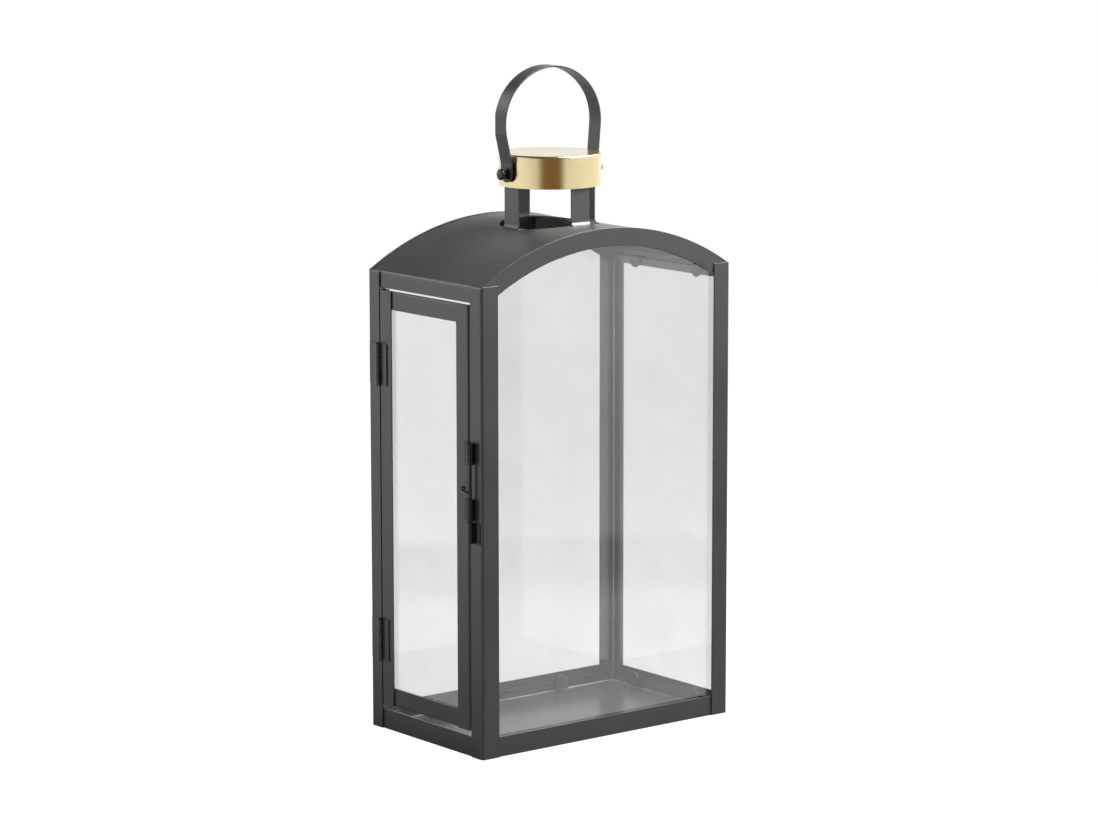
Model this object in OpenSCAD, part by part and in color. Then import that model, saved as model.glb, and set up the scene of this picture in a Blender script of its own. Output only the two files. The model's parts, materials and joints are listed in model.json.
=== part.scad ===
// Candle lantern with an arched sheet roof, four glazed sides, a hinged side door
// with a sliding pin latch, a round vent cap on four legs and a swinging bail.
// Frame: origin at the centre of the base, on the surface it stands on.
// X runs along the width, the front looks to -Y, the door is on the -X side, +Z is up.

/* [Body] */
// Width across the corner posts
body_w = 220; // [190:1:260]
// Depth across the corner posts
body_d = 130; // [116:1:170]
// Height of the corner posts
post_h = 325.9; // [280:0.1:400]
// Rise of the roof's arch from the side walls to its crown
roof_rise = 32.8; // [26:0.1:44]
// Thickness of the sheet steel in posts, bands, roof and floor
sheet_t = 1.0; // [0.8:0.05:1.3]

/* [Frame] */
// Width of a post's flange on the front and on the rear
post_front_w = 14.2; // [11:0.1:18]
// Width of a post's flange on the sides
post_side_w = 12.8; // [11:0.1:18]
// Outside radius of a post's folded corner
post_bend_r = 2.0; // [1.6:0.1:3]
// How far the posts stand above the ends of the arch
post_rise = 0.9; // [0:0.1:2]
// Height of the arched band, measured along the radius
arch_band_h = 12.8; // [10:0.1:18]
// Depth of the ledge under the roof on each arched band
arch_ledge_d = 10; // [6:0.5:14]
// Height of the strips round the base
base_rail_h = 14.1; // [11:0.1:20]
// Height of the floor pan's upturned edge
pan_lip_h = 8; // [5:0.5:10]
// Outside radius of the folds in the floor pan and the door
fold_r = 1.5; // [1.4:0.1:2]

/* [Roof] */
// How far the arched bands stand above the roof sheet
roof_lip = 0.5; // [0.3:0.1:2]
// Depth of the roof's folded edge along each side
roof_fold_h = 11; // [9:0.1:16]
// Outside radius of that fold
roof_bend_r = 3; // [2:0.1:4]
// Radius of the round vent hole in the crown
vent_r = 35.5; // [28:0.5:42]

/* [Cap] */
// Clear height between the roof's crown and the cap
cap_gap = 25.4; // [16:0.1:40]
// Height of the cap
cap_h = 22.7; // [18:0.1:32]
// Wall of the spun cap
cap_t = 0.8; // [0.6:0.05:1.2]
// Outside radius between the cap's side and its top
cap_edge_r = 1.4; // [1.3:0.1:4]
// Width of a cap leg
leg_w = 15.8; // [10:0.1:20]
// Thickness of a cap leg
leg_t = 1.0; // [0.8:0.1:1.6]
// How far a leg's outer face stands inside the vent hole's edge
leg_inset = 1.5; // [1:0.1:1.8]
// Inside radius of the fold at a leg's foot, where it runs out onto the roof
leg_fold_r = 3; // [2.6:0.1:4]
// Length of a leg's tab under the cap's top
leg_tab = 9; // [6:0.1:12]

/* [Bail] */
// Height of the pivots above the cap's lower edge
pivot_up = 9.6; // [8:0.1:14]
// Height of the bail from its pivots to its top
bail_h = 73.6; // [66:0.1:90]
// Width of the bail's strip
bail_strip_w = 11.7; // [10:0.1:16]
// Thickness of the bail's strip
bail_strip_t = 1.2; // [1:0.1:2]
// How far the bail's shoulders stand outside its pivot tabs
bail_flare = 3.8; // [2.6:0.1:6]
// Outside radius of the shoulders
bail_shoulder_r = 37.1; // [24:0.1:38]
// How far the bail's crown rises above the shoulders' arcs
bail_crown = 2.5; // [1.5:0.1:8]
// How far the hand-bent bail leans to the left
bail_lean = 1.6; // [0:0.1:2]
// How far its crown tilts down to the right, in degrees
bail_tilt = 1.4; // [0:0.1:3]
// Diameter of the pivot screws' shank
screw_d = 3; // [2.5:0.1:3.5]
// Diameter of the pivot screws' head
screw_head_d = 7.9; // [6:0.1:9]
// Height of the pivot screws' head
screw_head_h = 5.2; // [2:0.1:6]
// Diameter of the washer under the screw's head
washer_d = 9; // [8:0.1:11]
// Thickness of the washer
washer_t = 0.8; // [0.5:0.1:1.2]
// Width of the hexagon nut across its flats
nut_af = 5.5; // [5:0.1:6]
// Thickness of the nut
nut_h = 2.4; // [2:0.1:3]

/* [Glazing] */
// Thickness of the glass
glass_t = 2.0; // [1.6:0.1:2.5]
// How far a pane reaches behind the bands above it
glass_lap = 6; // [4:0.5:8]
// Width of a glazing clip
clip_w = 11; // [6:0.5:14]
// Thickness of a glazing clip
clip_t = 0.8; // [0.5:0.1:1]
// Height of a glazing clip's tab
clip_h = 11; // [8:0.5:14]
// Length of a glazing clip's foot
clip_foot = 5; // [4:0.5:6]
// Distance of the front and rear panes' lower clips from the middle
clip_x = 56.5; // [30:0.5:60]
// Distance of the side pane's clips from the middle
clip_y = 34; // [15:0.5:40]
// Distance of the front and rear panes' upper clips from the middle
clip_top_x = 40; // [20:0.5:60]
// Distance of the door pane's clips from the door's ends
clip_door_z = 45; // [20:1:100]
// Length of the door pane's clips, from the door's edge
clip_door_len = 8; // [7:0.5:12]

/* [Door] */
// Gap between the door and the rear post, at the hinges
seam_hinge = 0.8; // [0.6:0.1:1.5]
// Gap between the door and the front post, at the latch
seam_free = 1.9; // [0.8:0.1:2.4]
// Gap above the door
door_gap_top = 1.7; // [1:0.1:3]
// Gap below the door
door_gap_bottom = 4; // [1:0.1:6]
// How far the door's face stands outside the posts' faces
door_proud = 0.3; // [0.3:0.05:0.6]
// Width of the door's stiles
stile_w = 13.2; // [10:0.1:18]
// Height of the door's rails
door_rail_h = 12.8; // [10:0.1:18]
// Depth of the stiles' inward flange, from the door's face
stile_depth = 8; // [7:0.1:9]
// Depth of the rails' inward flange
door_rail_depth = 2; // [2:0.1:7]

/* [Hinges] */
// Distance of the lower hinge's middle from the door's lower end
hinge_from_bottom = 46.5; // [24:0.5:90]
// Distance of the upper hinge's middle from the door's upper end
hinge_from_top = 52; // [24:0.5:90]
// Diameter of the hinge pin
hinge_pin_d = 1.8; // [1.6:0.1:2.4]
// Thickness of the hinge leaves, rolled round the pin
leaf_t = 0.8; // [0.7:0.05:1.2]
// Length of an outer knuckle
knuckle_outer = 8.9; // [6:0.1:12]
// Length of the middle knuckle
knuckle_mid = 10.8; // [8:0.1:16]
// Width of the leaf on the post, from the post's edge
post_leaf_w = 10.6; // [8:0.1:12]
// Width of the leaf on the door, from the door's edge
door_leaf_w = 8.6; // [6:0.1:12]

/* [Latch] */
// How far the keeper's upper end lies under the door's middle
latch_under = 0.4; // [-40:0.1:40]
// Length of the keeper
keeper_len = 14.7; // [8:0.1:18]
// Length of each barrel on the door
barrel_len = 14.8; // [10:0.1:20]
// Clear height between the two barrels, where the handle moves
handle_space = 24.1; // [20:0.1:36]
// Wall of the latch's barrels on the door
barrel_wall = 1.3; // [0.8:0.1:1.6]
// Wall of the keeper's barrel
keeper_wall = 0.8; // [0.8:0.1:1.6]
// How far the latch's axis lies over the front post
latch_over = 3.2; // [1.5:0.1:4]
// Diameter of the sliding pin
latch_pin_d = 2.2; // [1.8:0.1:2.6]
// Width of the barrels' leaf on the door, from the pin's axis
barrel_leaf_w = 8.2; // [6:0.1:12]
// Width of the keeper's leaf on the post, from the pin's axis
keeper_leaf_w = 7.6; // [6:0.1:7.6]
// How far the drawn pin drops when it locks
pin_drop = 3.2; // [2:0.1:6]
// Length of the pin inside the upper barrel
pin_in_top = 11.2; // [8:0.1:15]
// Diameter of the pin's handle wire
wire_d = 1.5; // [1:0.1:2]
// Outside radius of the handle's curl
curl_r = 2.1; // [1.6:0.1:3]
// Reach of the handle from the pin's axis to the curl's centre
handle_reach = 4.7; // [3:0.1:8]
// Rise of the handle from the pin to the curl's centre
handle_rise = 3.8; // [1:0.1:6]

/* [Hidden] */
// Radial clearance of a pin or screw that turns or slides in its bore
run_fit = 0.05;
// Gap between the two bodies where a face passes another
pass_gap = 0.3;
// Gap between neighbouring knuckles or barrels along their axis
end_gap = 0.3;
// Gap between a pane and the metal it lies against
pane_gap = 0.1;
// Gap at a pane's edges
pane_edge = 0.5;
// Overlap that joins two solids of one piece
weld = 0.05;
// The same overlap along an arc, in degrees
weld_a = 0.05;
// Gap between a pivot's washer and the bail
washer_gap = 0.1;
// How far the hinges' axis stands outside the line where the knuckles touch the door's face
hinge_out = 0.25;
// How far that axis lies from the seam's middle, toward the door
hinge_toward_door = 0.6;
// Gap between the sliding pin's handle and the barrels at the ends of its travel
handle_gap = 0.1;

hx = body_w / 2;
hy = body_d / 2;
// Inner faces of the posts, and of the strips that lie behind the posts
skin_x = hx - sheet_t;
skin_y = hy - sheet_t;
lap_x = skin_x - sheet_t;
lap_y = skin_y - sheet_t;
// Ends of the strips, clear of the posts' inner corner
strip_x = hx - max(post_bend_r, 2 * sheet_t);
strip_y = hy - max(post_bend_r, 2 * sheet_t);

arch_r = (hx * hx + roof_rise * roof_rise) / (2 * roof_rise);
arch_cz = post_h - post_rise + roof_rise - arch_r;
arch_in_r = arch_r - arch_band_h;
roof_r = arch_r - roof_lip;
ledge_r = roof_r - sheet_t;
ledge_x = lap_x - roof_bend_r;
roof_top = arch_cz + roof_r;
roof_edge_z = roof_z(skin_x);
roof_fold_z = roof_edge_z - roof_fold_h;

leg_face = vent_r - leg_inset;
// Gap between the edges of the legs and the cap's shell
cap_fit = 0.25;
cap_r = sqrt(leg_face * leg_face + leg_w * leg_w / 4) + cap_fit + cap_t;
cap_z = roof_top + cap_gap;
cap_top = cap_z + cap_h;
pivot_z = cap_z + pivot_up;
// Outside radius of a leg's upper fold
leg_bend_r = 2;
// How far the lower fold sinks into the roof sheet before the sheet is cut away from it
fold_sink = 0.02;

// Gap between the cap and the bail's pivot tabs
bail_side_gap = 1.6;
tab_in = cap_r + bail_side_gap;
tab_out = tab_in + bail_strip_t;
tab_up = bail_strip_w / 2 + 1.5;
bail_half = tab_out + bail_flare;
shoulder_x = bail_half - bail_shoulder_r;
bail_top = pivot_z + bail_h;
crown_k = bail_shoulder_r + bail_crown;
shoulder_z = bail_top - crown_k;
crown_r = (shoulder_x * shoulder_x + crown_k * crown_k - bail_shoulder_r * bail_shoulder_r)
    / (2 * bail_crown);
crown_cz = bail_top - crown_r;
// Direction of the point where the crown meets a shoulder
crown_a = atan2(shoulder_z - crown_cz, shoulder_x);
// Where the arms start, at the upper ends of the pivot tabs
arm_base = [tab_out, pivot_z + tab_up];

pan_floor = sheet_t;
pan_in_x = lap_x - sheet_t;
pan_in_y = lap_y - sheet_t;
pane_z = pan_floor + fold_r - sheet_t;
pane_out_y = pan_in_y - pane_gap;
pane_in_y = pane_out_y - glass_t;
pane_out_x = pan_in_x - pane_gap;
pane_in_x = pane_out_x - glass_t;
pane_half_x = pan_in_x - pane_edge;
pane_half_y = pane_in_y - pane_edge;
pane_arch_r = arch_in_r + glass_lap;
side_pane_top = roof_fold_z + glass_lap - pane_edge;

door_face = -(hx + door_proud);
post_edge = hy - post_side_w;
door_hinge_y = post_edge - seam_hinge;
door_free_y = -(post_edge - seam_free);
door_z0 = base_rail_h + door_gap_bottom;
door_z1 = roof_fold_z - door_gap_top;
door_back = door_face + 2 * sheet_t;
door_glass_x = door_back + pane_gap;
door_clip_z0 = door_z0 + clip_door_z;
door_clip_z1 = door_z1 - clip_door_z;

hinge_r = hinge_pin_d / 2 + run_fit + leaf_t;
hinge_x = door_face - hinge_r - hinge_out;
hinge_y = (post_edge + door_hinge_y) / 2 - hinge_toward_door;
hinge_len = 2 * knuckle_outer + knuckle_mid + 2 * end_gap;
hinge_low_z = door_z0 + hinge_from_bottom;
hinge_high_z = door_z1 - hinge_from_top;
// Height of a hinge pin's heads, and how far they stand out round the pin
pin_head_h = 0.8;
pin_head_out = 0.6;

latch_bore_r = latch_pin_d / 2 + run_fit;
latch_r = latch_bore_r + barrel_wall;
keeper_r = latch_bore_r + keeper_wall;
latch_x = door_face - latch_r;
latch_y = -(post_edge + latch_over);
// Gap between the keeper and the lower barrel
barrel_gap = 0.8;
keeper_top = (door_z0 + door_z1) / 2 - latch_under;
keeper_z = keeper_top - keeper_len;
low_barrel_z = keeper_top + barrel_gap;
low_barrel_top = low_barrel_z + barrel_len;
high_barrel_z = low_barrel_top + handle_space;
pin_z0 = keeper_top + barrel_gap / 2;
pin_z1 = high_barrel_z + pin_in_top;
handle_z = low_barrel_top + pin_drop + handle_gap + wire_d / 2;

steel = [0.16, 0.16, 0.165];
black = [0.05, 0.05, 0.05];
brass = [0.86, 0.72, 0.43];
clear = [0.72, 0.86, 0.83, 0.35];
zinc = [0.55, 0.55, 0.54];

$fn = 64;
// Facets of the large arcs
big_fn = 360;

// Height of the roof's upper surface at a distance from the middle
function roof_z(x) = arch_cz + sqrt(roof_r * roof_r - x * x);
// Point at an angle and a distance from a centre
function polar(c, r, a) = [c[0] + r * cos(a), c[1] + r * sin(a)];

// An outline drawn in X and Z, given a thickness from y0 to y1
module slab_y(y0, y1) {
    translate([0, y1, 0]) rotate([90, 0, 0]) linear_extrude(height = y1 - y0) children();
}

// An outline drawn in Y and Z, given a thickness from x0 to x1
module slab_x(x0, x1) {
    translate([x0, 0, 0]) rotate([90, 0, 90]) linear_extrude(height = x1 - x0) children();
}

// A straight block given by its lowest and highest corners
module block(a, b) {
    translate(a) cube(b - a);
}

// Section of a folded angle: two flanges from a rounded corner at the origin
module angle_section(a, b, t, r) {
    translate([r, 0]) square([a - r, t]);
    translate([0, r]) square([t, b - r]);
    intersection() {
        translate([r, r]) difference() {
            circle(r);
            circle(r - t);
        }
        square([r, r]);
    }
}

// What a round corner of radius r takes off where an arc of radius big meets a wall at x = half
module arch_corner_cut(half, big, r) {
    c = [half - r, arch_cz + sqrt((big - r) * (big - r) - (half - r) * (half - r))];
    a = atan2(c[1] - arch_cz, c[0]);
    on_arc = polar([0, arch_cz], big, a);
    difference() {
        polygon([c, on_arc, [half + 2, on_arc[1] + 2], [half + 2, c[1]]]);
        translate(c) circle(r);
    }
}

// Outline under an arc of radius big between two walls, from z0 up, with round corners
module arch_outline(half, big, r, z0) {
    difference() {
        intersection() {
            translate([0, arch_cz]) circle(big, $fn = big_fn);
            translate([-half, z0]) square([2 * half, arch_cz + big - z0]);
        }
        arch_corner_cut(half, big, r);
        mirror([1, 0]) arch_corner_cut(half, big, r);
    }
}

// A curved strip between two radii round the arch's centre, between two walls
module arch_strip(outer, inner, half) {
    intersection() {
        translate([0, arch_cz]) difference() {
            circle(outer, $fn = big_fn);
            circle(inner, $fn = big_fn);
        }
        translate([-half, arch_cz + inner / 2]) square([2 * half, outer]);
    }
}

// Corner post: a folded angle with its upper outer corner rounded
module post(sx, sy) {
    color(steel) scale_sign(sx, sy) intersection() {
        linear_extrude(height = post_h) translate([hx, hy]) rotate(180)
            angle_section(post_front_w, post_side_w, sheet_t, post_bend_r);
        slab_y(hy - post_side_w - 1, hy + 1) {
            translate([hx - post_front_w - 1, 0]) square([post_front_w + 1 - post_bend_r, post_h]);
            translate([hx - post_bend_r, 0]) square([post_bend_r, post_h - post_bend_r]);
            translate([hx - post_bend_r, post_h - post_bend_r]) intersection() {
                circle(post_bend_r);
                square(post_bend_r);
            }
        }
    }
}

// Mirrors its children into the quarter given by two signs
module scale_sign(sx, sy) {
    mirror([sx < 0 ? 1 : 0, 0, 0]) mirror([0, sy < 0 ? 1 : 0, 0]) children();
}

// Floor pan: one sheet with four folded edges, notched at its corners
module floor_pan() {
    notch = 2;
    color(steel) {
        block([-lap_x + fold_r, -lap_y + fold_r, 0], [lap_x - fold_r, lap_y - fold_r, sheet_t]);
        for (s = [-1, 1]) {
            scale_sign(s, 1) slab_y(-lap_y + fold_r + notch, lap_y - fold_r - notch)
                translate([lap_x, 0]) mirror([1, 0])
                    angle_section(fold_r + weld, pan_lip_h, sheet_t, fold_r);
            scale_sign(1, s) slab_x(-lap_x + fold_r + notch, lap_x - fold_r - notch)
                translate([lap_y, 0]) mirror([1, 0])
                    angle_section(fold_r + weld, pan_lip_h, sheet_t, fold_r);
        }
    }
}

// Strip along the front or rear of the base, behind the posts
module long_base_rail(s) {
    color(steel) scale_sign(1, s)
        block([-strip_x, lap_y, 0], [strip_x, skin_y, base_rail_h]);
}

// Strip along a side of the base, behind the posts
module side_base_rail(s) {
    color(steel) scale_sign(s, 1)
        block([lap_x, -strip_y, 0], [skin_x, strip_y, base_rail_h]);
}

// Arched band with the ledge that carries the roof sheet
module arch(s) {
    color(steel) scale_sign(1, s) {
        slab_y(lap_y, skin_y) arch_strip(arch_r, arch_in_r, strip_x);
        slab_y(lap_y - arch_ledge_d, lap_y + weld) arch_strip(ledge_r, ledge_r - sheet_t, ledge_x);
    }
}

// Roof: one curved sheet whose sides fold down to make the side walls' top rails
module roof() {
    color(steel) difference() {
        slab_y(-lap_y, lap_y) difference() {
            arch_outline(skin_x, roof_r, roof_bend_r, roof_fold_z);
            arch_outline(lap_x, roof_r - sheet_t, roof_bend_r - sheet_t, roof_fold_z - 1);
        }
        translate([0, 0, roof_top - vent_r]) cylinder(r = vent_r, h = vent_r + 1);
    }
}

// Cap leg: a strip folded out onto the roof at the vent hole's edge, and in under the cap
module cap_leg(turn, drilled) {
    half = leg_w / 2;
    along_x = turn == 0 || turn == 180;
    fold_x = leg_face + leg_fold_r;
    on_slope = arch_cz + sqrt((roof_r + leg_fold_r) * (roof_r + leg_fold_r) - fold_x * fold_x);
    fold_z = (along_x ? on_slope : roof_z(half) + leg_fold_r) - fold_sink;
    outer_r = leg_fold_r + leg_t;
    touch = along_x ? leg_fold_r * fold_x / (roof_r + leg_fold_r) : 0;
    leg_top = cap_top - cap_t;
    color(steel) difference() {
        rotate(turn) slab_y(-half, half) {
            translate([leg_face, leg_top]) rotate(180)
                angle_section(leg_tab, leg_top - fold_z + weld, leg_t, leg_bend_r);
            translate([fold_x, fold_z]) difference() {
                intersection() {
                    circle(outer_r);
                    translate([-outer_r, -outer_r]) square([outer_r - touch, outer_r]);
                }
                circle(leg_fold_r);
            }
        }
        difference() {
            slab_y(-hy, hy) translate([0, arch_cz]) circle(roof_r, $fn = big_fn);
            cylinder(r = vent_r, h = roof_top + 1);
        }
        if (drilled)
            rotate(turn) translate([leg_face / 2, 0, pivot_z]) rotate([0, 90, 0])
                cylinder(d = screw_d + 4 * run_fit, h = leg_face);
    }
}

// Section of the cap's shell, or of its hollow
module cap_section(r, h, edge) {
    square([r - edge, h]);
    square([r, h - edge]);
    translate([r - edge, h - edge]) circle(edge);
}

// Vent cap: a spun lid, open below, drilled for the two pivot screws
module vent_cap() {
    color(brass) difference() {
        translate([0, 0, cap_z]) rotate_extrude($fn = 180) difference() {
            intersection() {
                cap_section(cap_r, cap_h, cap_edge_r);
                square([cap_r, cap_h]);
            }
            translate([-1, -1]) cap_section(cap_r - cap_t + 1, cap_h - cap_t + 1, cap_edge_r - cap_t);
        }
        translate([-cap_r - 1, 0, pivot_z]) rotate([0, 90, 0])
            cylinder(d = screw_d + 4 * run_fit, h = 2 * cap_r + 2);
    }
}

// Part of a ring between two angles
module ring_part(c, r, t, a0, a1) {
    intersection() {
        translate(c) difference() {
            circle(r, $fn = 180);
            circle(r - t, $fn = 180);
        }
        polygon([c, polar(c, 2 * r, a0), polar(c, 2 * r, (a0 + a1) / 2), polar(c, 2 * r, a1)]);
    }
}

// One side of the bail's line in X and Z, drawn at +X: tab, sloping arm, shoulder and
// half of the crown, which leans and tilts with the whole of the bail's upper part
module bail_side_line(s) {
    t = bail_strip_t;
    tilt = s * bail_tilt;
    sink = shoulder_z - crown_cz;
    shoulder = [shoulder_x * cos(tilt) - s * bail_lean, shoulder_z - shoulder_x * sin(tilt)];
    crown = [-s * bail_lean - sink * sin(tilt), shoulder_z - sink * cos(tilt)];
    way = shoulder - arm_base;
    arm_a = atan2(way[1], way[0]) - asin(bail_shoulder_r / norm(way));
    arm_len = sqrt(way * way - bail_shoulder_r * bail_shoulder_r);
    side = [cos(arm_a - 90), sin(arm_a - 90)];
    end = polar(arm_base, arm_len + weld, arm_a);
    translate([tab_in, pivot_z - bail_strip_w / 2]) square([t, tab_up + bail_strip_w / 2]);
    polygon([arm_base - [t, 0], arm_base, end, end - t * side]);
    ring_part(shoulder, bail_shoulder_r, t, arm_a - 90, crown_a - tilt);
    ring_part(crown, crown_r, t, crown_a - tilt - weld_a, 90 - tilt + weld_a);
}

// Bail: one bent strip with round ends, bored for the pivot screws
module bail_handle() {
    half = bail_strip_w / 2;
    color(steel) difference() {
        intersection() {
            slab_y(-half, half) {
                bail_side_line(1);
                mirror([1, 0]) bail_side_line(-1);
            }
            slab_x(-bail_half - 1, bail_half + 1) {
                translate([0, pivot_z]) circle(half);
                translate([-half, pivot_z]) square([bail_strip_w, bail_h + 1]);
            }
        }
        translate([-bail_half, 0, pivot_z]) rotate([0, 90, 0])
            cylinder(d = screw_d + 2 * run_fit, h = 2 * bail_half);
    }
}

// Pivot screw: a domed head and a shank through washer, bail, cap and leg
module bail_screw(s) {
    head_x = tab_out + washer_gap + washer_t;
    shank_in = leg_face - leg_t - nut_h - 1;
    dome_h = 1.2;
    edge_h = screw_head_h - dome_h;
    r = screw_head_d / 2;
    dome_r = (r * r + dome_h * dome_h) / (2 * dome_h);
    color(black) scale_sign(s, 1) translate([0, 0, pivot_z]) rotate([0, 90, 0]) {
        translate([0, 0, head_x]) {
            cylinder(r = r, h = edge_h);
            intersection() {
                translate([0, 0, screw_head_h - dome_r]) sphere(dome_r, $fn = 96);
                cylinder(r = r, h = screw_head_h);
            }
        }
        translate([0, 0, shank_in]) cylinder(d = screw_d, h = head_x - shank_in + weld);
    }
}

// Washer between the screw's head and the bail
module bail_washer(s) {
    color(black) scale_sign(s, 1) translate([tab_out + washer_gap, 0, pivot_z]) rotate([0, 90, 0])
        difference() {
            cylinder(d = washer_d, h = washer_t);
            translate([0, 0, -1]) cylinder(d = screw_d + 4 * run_fit, h = washer_t + 2);
        }
}

// Hexagon nut inside the cap, against the leg
module bail_nut(s) {
    color(zinc) scale_sign(s, 1) translate([leg_face - leg_t - nut_h, 0, pivot_z])
        rotate([0, 90, 0]) difference() {
            cylinder(d = nut_af / cos(30), h = nut_h, $fn = 6);
            translate([0, 0, -1]) cylinder(d = screw_d + 2 * run_fit, h = nut_h + 2);
        }
}

// Front or rear pane, with an arched top
module long_glass(s) {
    color(clear) scale_sign(1, s) slab_y(pane_in_y, pane_out_y) intersection() {
        union() {
            translate([0, arch_cz]) circle(pane_arch_r, $fn = big_fn);
            translate([-hx, 0]) square([body_w, roof_edge_z - arch_band_h]);
        }
        translate([-pane_half_x, pane_z]) square([2 * pane_half_x, arch_cz + pane_arch_r - pane_z]);
    }
}

// Fixed pane on the right side
module right_glass() {
    color(clear) block([pane_in_x, -pane_half_y, pane_z], [pane_out_x, pane_half_y, side_pane_top]);
}

// Pane in the door
module door_glass() {
    inset = fold_r + pane_edge;
    color(clear) block([door_glass_x, door_free_y + inset, door_z0 + inset],
        [door_glass_x + glass_t, door_hinge_y - inset, door_z1 - inset]);
}

// Outline of a clip's tab: a strip from height a up to b with a round tip at its end
module tab_outline(a, b, tip_down) {
    r = clip_w / 2;
    tip = tip_down ? a + r : b - r;
    intersection() {
        translate([-r, a]) square([clip_w, b - a]);
        union() {
            translate([0, tip]) circle(r);
            translate([-r, tip_down ? tip : a - 1]) square([clip_w, b - a - r + 1]);
        }
    }
}

// Clip that stands on the pan and holds a pane's lower edge from inside, at y = face
module floor_clip(face) {
    slab_y(face - pane_gap - clip_t, face - pane_gap) tab_outline(pan_floor, pan_floor + clip_h, false);
    block([-clip_w / 2, face - pane_gap - clip_t - clip_foot, pan_floor],
        [clip_w / 2, face - pane_gap - clip_t + weld, pan_floor + clip_t]);
}

// Clip that hangs from the ledge and holds a pane's arched top from inside
module ledge_clip(s) {
    in_r = ledge_r - sheet_t;
    tip_r = arch_in_r - 1.5;
    turn = s * asin(clip_top_x / in_r);
    y1 = pane_in_y - pane_gap;
    y0 = y1 - clip_t;
    translate([0, 0, arch_cz]) rotate([0, turn, 0]) {
        slab_y(y0, y1) intersection() {
            tab_outline(tip_r, in_r + 1, true);
            circle(in_r, $fn = big_fn);
        }
        slab_y(max(y0 - clip_foot, lap_y - arch_ledge_d), y0 + weld) intersection() {
            difference() {
                circle(in_r, $fn = big_fn);
                circle(in_r - clip_t, $fn = big_fn);
            }
            translate([-clip_w / 2, 0]) square([clip_w, in_r + 1]);
        }
    }
}

// The four clips of the front or rear pane
module long_glass_clips(s) {
    color(steel) scale_sign(1, s) for (k = [-1, 1]) {
        translate([k * clip_x, 0, 0]) floor_clip(pane_in_y);
        ledge_clip(k);
    }
}

// The four clips of the right pane: two on the pan, two on the roof's folded edge
module right_glass_clips() {
    tab_x1 = pane_in_x - pane_gap;
    tab_x0 = tab_x1 - clip_t;
    arm_z = side_pane_top + pane_edge;
    color(steel) for (k = [-1, 1]) {
        translate([0, k * clip_y, 0]) rotate(-90) floor_clip(pane_in_x);
        translate([0, k * clip_y, 0]) {
            slab_x(tab_x0, tab_x1) tab_outline(roof_fold_z - 1.5, arm_z + clip_t, true);
            block([tab_x1 - weld, -clip_w / 2, arm_z], [lap_x, clip_w / 2, arm_z + clip_t]);
        }
    }
}

// The four clips of the door's pane, on the stiles' flanges
module door_glass_clips() {
    x0 = door_glass_x + glass_t + pane_gap;
    r = clip_w / 2;
    color(steel) for (z = [door_clip_z0, door_clip_z1], side = [-1, 1]) {
        face = side < 0 ? door_free_y + sheet_t : -(door_hinge_y - sheet_t);
        scale_sign(1, -side) translate([0, 0, z]) {
            slab_x(x0, x0 + clip_t) intersection() {
                translate([face, -r]) square([clip_door_len, clip_w]);
                translate([face + clip_door_len - r, 0]) circle(r);
            }
            block([x0 + clip_t - weld, face, -r], [door_face + stile_depth, face + clip_t, r]);
        }
    }
}

// Stile of the door: a folded angle along one edge
module stile(edge, s) {
    color(steel) translate([door_face, edge, door_z0]) scale_sign(1, s)
        linear_extrude(height = door_z1 - door_z0)
            angle_section(stile_depth, stile_w, sheet_t, fold_r);
}

// Rail of the door: a folded angle behind the stiles
module door_rail(edge, s) {
    color(steel) slab_y(door_free_y + fold_r, door_hinge_y - fold_r)
        translate([door_face + sheet_t, edge]) mirror([0, s < 0 ? 1 : 0])
            angle_section(door_rail_depth, door_rail_h, sheet_t, fold_r);
}

// Tube that turns or slides on a pin
module barrel(r, bore_r, h) {
    difference() {
        cylinder(r = r, h = h);
        translate([0, 0, -1]) cylinder(r = bore_r, h = h + 2);
    }
}

// Leaf on the post with the two outer knuckles, notched for the middle one
module hinge_post_leaf(z) {
    z0 = z - hinge_len / 2;
    mid0 = z0 + knuckle_outer;
    mid1 = mid0 + knuckle_mid + 2 * end_gap;
    notch = hinge_y + hinge_r + pass_gap;
    color(steel) {
        difference() {
            block([-hx - leaf_t, post_edge, z0], [-hx, post_edge + post_leaf_w, z0 + hinge_len]);
            block([-hx - leaf_t - 1, post_edge - 1, mid0], [-hx + 1, notch, mid1]);
            for (h = [z0, mid1]) translate([hinge_x, hinge_y, h - 1])
                cylinder(r = hinge_pin_d / 2 + run_fit, h = knuckle_outer + 2);
        }
        for (h = [z0, mid1]) translate([hinge_x, hinge_y, h])
            knuckle(knuckle_outer, -hx - leaf_t, post_edge + weld);
    }
}

// Leaf on the door with the middle knuckle, notched for the outer ones
module hinge_door_leaf(z) {
    z0 = z - hinge_len / 2;
    mid0 = z0 + knuckle_outer + end_gap;
    notch = hinge_y - hinge_r - pass_gap;
    color(steel) {
        block([door_face - leaf_t, door_hinge_y - door_leaf_w, z0], [door_face, notch, z0 + hinge_len]);
        block([door_face - leaf_t, notch - weld, mid0], [door_face, door_hinge_y, mid0 + knuckle_mid]);
        translate([hinge_x, hinge_y, mid0])
            knuckle(knuckle_mid, door_face - leaf_t, door_hinge_y - weld);
    }
}

// Knuckle round the hinge's axis, with the short neck that joins it to a leaf at x, y
module knuckle(h, leaf_x, leaf_y) {
    away = leaf_y > hinge_y ? 1 : -1;
    difference() {
        union() {
            cylinder(r = hinge_r, h = h);
            scale_sign(1, away) block([leaf_x - hinge_x, 0, 0],
                [leaf_x - hinge_x + leaf_t, abs(leaf_y - hinge_y), h]);
        }
        translate([0, 0, -1]) cylinder(r = hinge_pin_d / 2 + run_fit, h = h + 2);
    }
}

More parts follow.
